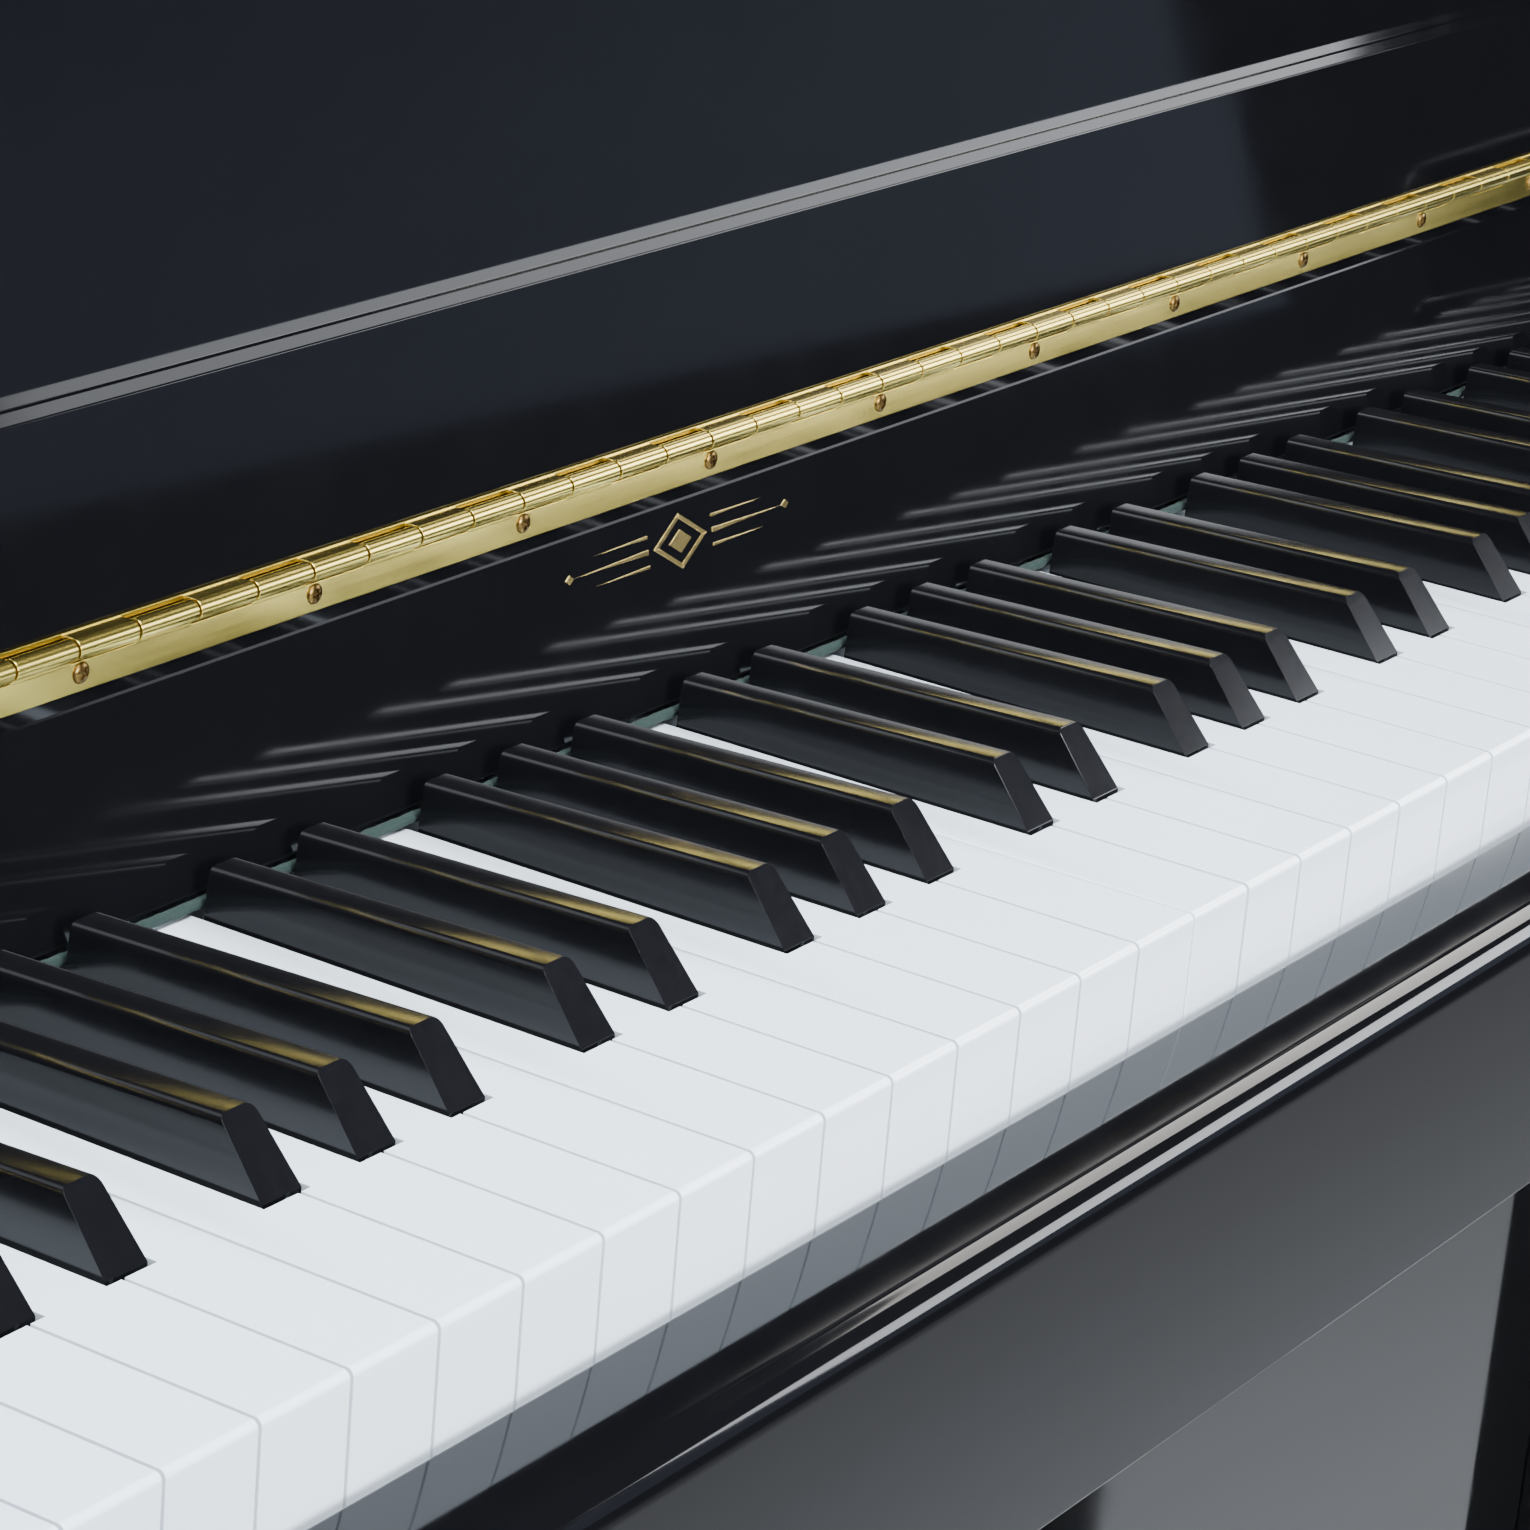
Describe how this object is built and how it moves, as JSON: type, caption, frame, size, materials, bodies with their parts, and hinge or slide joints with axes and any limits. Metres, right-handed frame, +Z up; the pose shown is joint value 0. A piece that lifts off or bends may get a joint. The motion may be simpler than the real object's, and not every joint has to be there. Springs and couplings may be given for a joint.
{
  "type": "upright piano",
  "caption": "Upright piano in black gloss lacquer with an open hinged fallboard, a full keyboard, brass piano hinge, three pedals and its action inside.",
  "frame": {"origin": "on the floor at the middle of the piano's width and depth", "axes": "+X to the player's right along the keyboard, +Y from the player to the back, +Z up"},
  "size_m": [1.5, 0.6, 1.2144],
  "materials": {
    "black_lacquer": "high-gloss polyester lacquer",
    "beech_wood": "satin bare wood",
    "spruce_board": "satin varnish",
    "polished_brass": "polished",
    "brass_screws": "darker, slightly dull",
    "green_felt": "matte felt",
    "bronze_iron": "bronze paint",
    "string_steel": "drawn wire",
    "action_felt": "matte felt",
    "natural_key_plastic": "gloss",
    "sharp_key_plastic": "satin gloss",
    "action_maple": "satin bare wood",
    "hammer_felt": "dense felt"
  },
  "bodies": {
    "case": {"left_side": "black_lacquer", "right_side": "black_lacquer", "bottom_board": "black_lacquer", "back_frame": "beech_wood", "keybed": "beech_wood", "key_slip": "black_lacquer", "front_legs": "black_lacquer", "cheek_blocks": "black_lacquer", "upper_panel": "black_lacquer", "lower_panel": "black_lacquer", "lid_rear": "black_lacquer", "lid_hinge_rear": "polished_brass", "nameboard": "black_lacquer", "fallboard_hinge_lower": "polished_brass", "hinge_screws": "brass_screws", "nameboard_felt": "green_felt", "iron_plate": "bronze_iron", "tuning_pins": "string_steel", "soundboard": "spruce_board", "strings": "string_steel", "key_frame": "beech_wood", "action_rails": "beech_wood", "feet": "polished_brass"},
    "fall": {"fallboard": "black_lacquer", "fallboard_hinge_upper": "polished_brass"},
    "top_lid": {"lid_front": "black_lacquer", "lid_hinge_front": "polished_brass"},
    "desk": {"music_desk": "black_lacquer"},
    "rest_rail": {"hammer_rest_rail": "beech_wood"},
    "mute": {"mute_rail": "green_felt"},
    "damper_set": {"dampers": "action_felt"},
    "pedal_left_body": {"pedal_left": "polished_brass"},
    "trap_lever_left_body": {"trap_lever_left": "beech_wood"},
    "dowel_left_body": {"dowel_left": "beech_wood"},
    "pedal_middle_body": {"pedal_middle": "polished_brass"},
    "trap_lever_middle_body": {"trap_lever_middle": "beech_wood"},
    "dowel_middle_body": {"dowel_middle": "beech_wood"},
    "pedal_right_body": {"pedal_right": "polished_brass"},
    "trap_lever_right_body": {"trap_lever_right": "beech_wood"},
    "dowel_right_body": {"dowel_right": "beech_wood"},
    "bass_key_body": {"bass_naturals": "natural_key_plastic", "bass_sharps": "sharp_key_plastic"},
    "bass_whippen_body": {"bass_whippens": "action_maple"},
    "bass_hammer_body": {"bass_hammers": "hammer_felt"},
    "c4_key_body": {"key_c4": "natural_key_plastic"},
    "c4_whippen_body": {"whippen_c4": "action_maple"},
    "c4_hammer_body": {"hammer_c4": "hammer_felt"},
    "c_sharp4_key_body": {"key_c_sharp4": "sharp_key_plastic"},
    "c_sharp4_whippen_body": {"whippen_c_sharp4": "action_maple"},
    "c_sharp4_hammer_body": {"hammer_c_sharp4": "hammer_felt"},
    "d4_key_body": {"key_d4": "natural_key_plastic"},
    "d4_whippen_body": {"whippen_d4": "action_maple"},
    "d4_hammer_body": {"hammer_d4": "hammer_felt"},
    "d_sharp4_key_body": {"key_d_sharp4": "sharp_key_plastic"},
    "d_sharp4_whippen_body": {"whippen_d_sharp4": "action_maple"},
    "d_sharp4_hammer_body": {"hammer_d_sharp4": "hammer_felt"},
    "treble_key_body": {"treble_naturals": "natural_key_plastic", "treble_sharps": "sharp_key_plastic"},
    "treble_whippen_body": {"treble_whippens": "action_maple"},
    "treble_hammer_body": {"treble_hammers": "hammer_felt"}
  },
  "joints": [
    {"name": "fallboard_hinge_turn", "type": "hinge", "parent": "case", "child": "fall", "pos_m": [0, -0.09988, 0.7888], "axis": [1, 0, 0], "range_deg": [0, 114]},
    {"name": "top_lid_turn", "type": "hinge", "parent": "case", "child": "top_lid", "pos_m": [0, 0.07, 1.2122], "axis": [1, 0, 0], "range_deg": [-176, 0]},
    {"name": "music_desk_turn", "type": "hinge", "parent": "case", "child": "desk", "pos_m": [0, -0.041, 1.008], "axis": [1, 0, 0], "range_deg": [0, 22]},
    {"name": "hammer_rest_rail_turn", "type": "hinge", "parent": "case", "child": "rest_rail", "pos_m": [0, 0.118, 0.84], "axis": [1, 0, 0], "range_deg": [-4, 0]},
    {"name": "mute_rail_slide", "type": "slide", "parent": "case", "child": "mute", "axis": [0, 0, -1], "range_m": [0, 0.038]},
    {"name": "damper_turn", "type": "hinge", "parent": "case", "child": "damper_set", "pos_m": [0, 0.152, 0.838], "axis": [1, 0, 0], "range_deg": [0, 3.5]},
    {"name": "pedal_left_press", "type": "hinge", "parent": "case", "child": "pedal_left_body", "pos_m": [-0.07, 0.09, 0.08], "axis": [1, 0, 0], "range_deg": [0, 4.6], "stiffness_Nm_per_rad": 60, "springref_deg": -3.44},
    {"name": "trap_lever_left_turn", "type": "hinge", "parent": "case", "child": "trap_lever_left_body", "pos_m": [-0.328, 0.04, 0.13], "axis": [0, 1, 0], "range_deg": [0, 0.89236]},
    {"name": "dowel_left_slide", "type": "slide", "parent": "case", "child": "dowel_left_body", "axis": [0, 0, 1], "range_m": [0, 0.00504]},
    {"name": "pedal_middle_press", "type": "hinge", "parent": "case", "child": "pedal_middle_body", "pos_m": [0, 0.09, 0.08], "axis": [1, 0, 0], "range_deg": [0, 4.6], "stiffness_Nm_per_rad": 60, "springref_deg": -3.44},
    {"name": "trap_lever_middle_turn", "type": "hinge", "parent": "case", "child": "trap_lever_middle_body", "pos_m": [-0.227, 0.004, 0.13], "axis": [0, 1, 0], "range_deg": [0, 1.74]},
    {"name": "dowel_middle_slide", "type": "slide", "parent": "case", "child": "dowel_middle_body", "axis": [0, 0, 1], "range_m": [0, 0.01397]},
    {"name": "pedal_right_press", "type": "hinge", "parent": "case", "child": "pedal_right_body", "pos_m": [0.07, 0.09, 0.08], "axis": [1, 0, 0], "range_deg": [0, 4.6], "stiffness_Nm_per_rad": 60, "springref_deg": -3.44},
    {"name": "trap_lever_right_turn", "type": "hinge", "parent": "case", "child": "trap_lever_right_body", "pos_m": [0.328, 0.04, 0.13], "axis": [0, 1, 0], "range_deg": [-0.89236, 0]},
    {"name": "dowel_right_slide", "type": "slide", "parent": "case", "child": "dowel_right_body", "axis": [0, 0, 1], "range_m": [0, 0.00504]},
    {"name": "bass_keys_press", "type": "hinge", "parent": "case", "child": "bass_key_body", "pos_m": [0, -0.032, 0.704], "axis": [1, 0, 0], "range_deg": [0, 2.55], "stiffness_Nm_per_rad": 150, "springref_deg": -2.86},
    {"name": "bass_whippen_turn", "type": "hinge", "parent": "case", "child": "bass_whippen_body", "pos_m": [0, 0.141, 0.778], "axis": [1, 0, 0], "range_deg": [-10.6, 0]},
    {"name": "bass_hammer_turn", "type": "hinge", "parent": "rest_rail", "child": "bass_hammer_body", "pos_m": [0, 0.118, 0.84], "axis": [1, 0, 0], "range_deg": [-13.8, 0]},
    {"name": "c4_key_press", "type": "hinge", "parent": "case", "child": "c4_key_body", "pos_m": [0, -0.032, 0.704], "axis": [1, 0, 0], "range_deg": [0, 2.55], "stiffness_Nm_per_rad": 4, "springref_deg": -2.86},
    {"name": "c4_whippen_turn", "type": "hinge", "parent": "case", "child": "c4_whippen_body", "pos_m": [0, 0.141, 0.778], "axis": [1, 0, 0], "range_deg": [-10.6, 0]},
    {"name": "c4_hammer_turn", "type": "hinge", "parent": "rest_rail", "child": "c4_hammer_body", "pos_m": [0, 0.118, 0.84], "axis": [1, 0, 0], "range_deg": [-13.8, 0]},
    {"name": "c_sharp4_key_press", "type": "hinge", "parent": "case", "child": "c_sharp4_key_body", "pos_m": [0, -0.032, 0.704], "axis": [1, 0, 0], "range_deg": [0, 2.55], "stiffness_Nm_per_rad": 4, "springref_deg": -2.86},
    {"name": "c_sharp4_whippen_turn", "type": "hinge", "parent": "case", "child": "c_sharp4_whippen_body", "pos_m": [0, 0.141, 0.778], "axis": [1, 0, 0], "range_deg": [-10.6, 0]},
    {"name": "c_sharp4_hammer_turn", "type": "hinge", "parent": "rest_rail", "child": "c_sharp4_hammer_body", "pos_m": [0, 0.118, 0.84], "axis": [1, 0, 0], "range_deg": [-13.8, 0]},
    {"name": "d4_key_press", "type": "hinge", "parent": "case", "child": "d4_key_body", "pos_m": [0, -0.032, 0.704], "axis": [1, 0, 0], "range_deg": [0, 2.55], "stiffness_Nm_per_rad": 4, "springref_deg": -2.86},
    {"name": "d4_whippen_turn", "type": "hinge", "parent": "case", "child": "d4_whippen_body", "pos_m": [0, 0.141, 0.778], "axis": [1, 0, 0], "range_deg": [-10.6, 0]},
    {"name": "d4_hammer_turn", "type": "hinge", "parent": "rest_rail", "child": "d4_hammer_body", "pos_m": [0, 0.118, 0.84], "axis": [1, 0, 0], "range_deg": [-13.8, 0]},
    {"name": "d_sharp4_key_press", "type": "hinge", "parent": "case", "child": "d_sharp4_key_body", "pos_m": [0, -0.032, 0.704], "axis": [1, 0, 0], "range_deg": [0, 2.55], "stiffness_Nm_per_rad": 4, "springref_deg": -2.86},
    {"name": "d_sharp4_whippen_turn", "type": "hinge", "parent": "case", "child": "d_sharp4_whippen_body", "pos_m": [0, 0.141, 0.778], "axis": [1, 0, 0], "range_deg": [-10.6, 0]},
    {"name": "d_sharp4_hammer_turn", "type": "hinge", "parent": "rest_rail", "child": "d_sharp4_hammer_body", "pos_m": [0, 0.118, 0.84], "axis": [1, 0, 0], "range_deg": [-13.8, 0]},
    {"name": "treble_keys_press", "type": "hinge", "parent": "case", "child": "treble_key_body", "pos_m": [0, -0.032, 0.704], "axis": [1, 0, 0], "range_deg": [0, 2.55], "stiffness_Nm_per_rad": 150, "springref_deg": -2.86},
    {"name": "treble_whippen_turn", "type": "hinge", "parent": "case", "child": "treble_whippen_body", "pos_m": [0, 0.141, 0.778], "axis": [1, 0, 0], "range_deg": [-10.6, 0]},
    {"name": "treble_hammer_turn", "type": "hinge", "parent": "rest_rail", "child": "treble_hammer_body", "pos_m": [0, 0.118, 0.84], "axis": [1, 0, 0], "range_deg": [-13.8, 0]}
  ],
  "couplings": [
    {"joint": "trap_lever_left_turn", "follows": "pedal_left_press", "ratio": 0.1938},
    {"joint": "dowel_left_slide", "follows": "pedal_left_press", "m_per_rad": 0.062403},
    {"joint": "hammer_rest_rail_turn", "follows": "pedal_left_press", "ratio": -0.86948},
    {"joint": "trap_lever_middle_turn", "follows": "pedal_middle_press", "ratio": 0.37885},
    {"joint": "dowel_middle_slide", "follows": "pedal_middle_press", "m_per_rad": 0.17314},
    {"joint": "mute_rail_slide", "follows": "pedal_middle_press", "m_per_rad": 0.47327},
    {"joint": "trap_lever_right_turn", "follows": "pedal_right_press", "ratio": -0.1938},
    {"joint": "dowel_right_slide", "follows": "pedal_right_press", "m_per_rad": 0.062403},
    {"joint": "damper_turn", "follows": "pedal_right_press", "ratio": 0.76079},
    {"joint": "bass_whippen_turn", "follows": "bass_keys_press", "ratio": -4.1608},
    {"joint": "bass_hammer_turn", "follows": "bass_keys_press", "ratio": -5.4169},
    {"joint": "c4_whippen_turn", "follows": "c4_key_press", "ratio": -4.1608},
    {"joint": "c4_hammer_turn", "follows": "c4_key_press", "ratio": -5.4169},
    {"joint": "c_sharp4_whippen_turn", "follows": "c_sharp4_key_press", "ratio": -4.1608},
    {"joint": "c_sharp4_hammer_turn", "follows": "c_sharp4_key_press", "ratio": -5.4169},
    {"joint": "d4_whippen_turn", "follows": "d4_key_press", "ratio": -4.1608},
    {"joint": "d4_hammer_turn", "follows": "d4_key_press", "ratio": -5.4169},
    {"joint": "d_sharp4_whippen_turn", "follows": "d_sharp4_key_press", "ratio": -4.1608},
    {"joint": "d_sharp4_hammer_turn", "follows": "d_sharp4_key_press", "ratio": -5.4169},
    {"joint": "treble_whippen_turn", "follows": "treble_keys_press", "ratio": -4.1608},
    {"joint": "treble_hammer_turn", "follows": "treble_keys_press", "ratio": -5.4169}
  ]
}
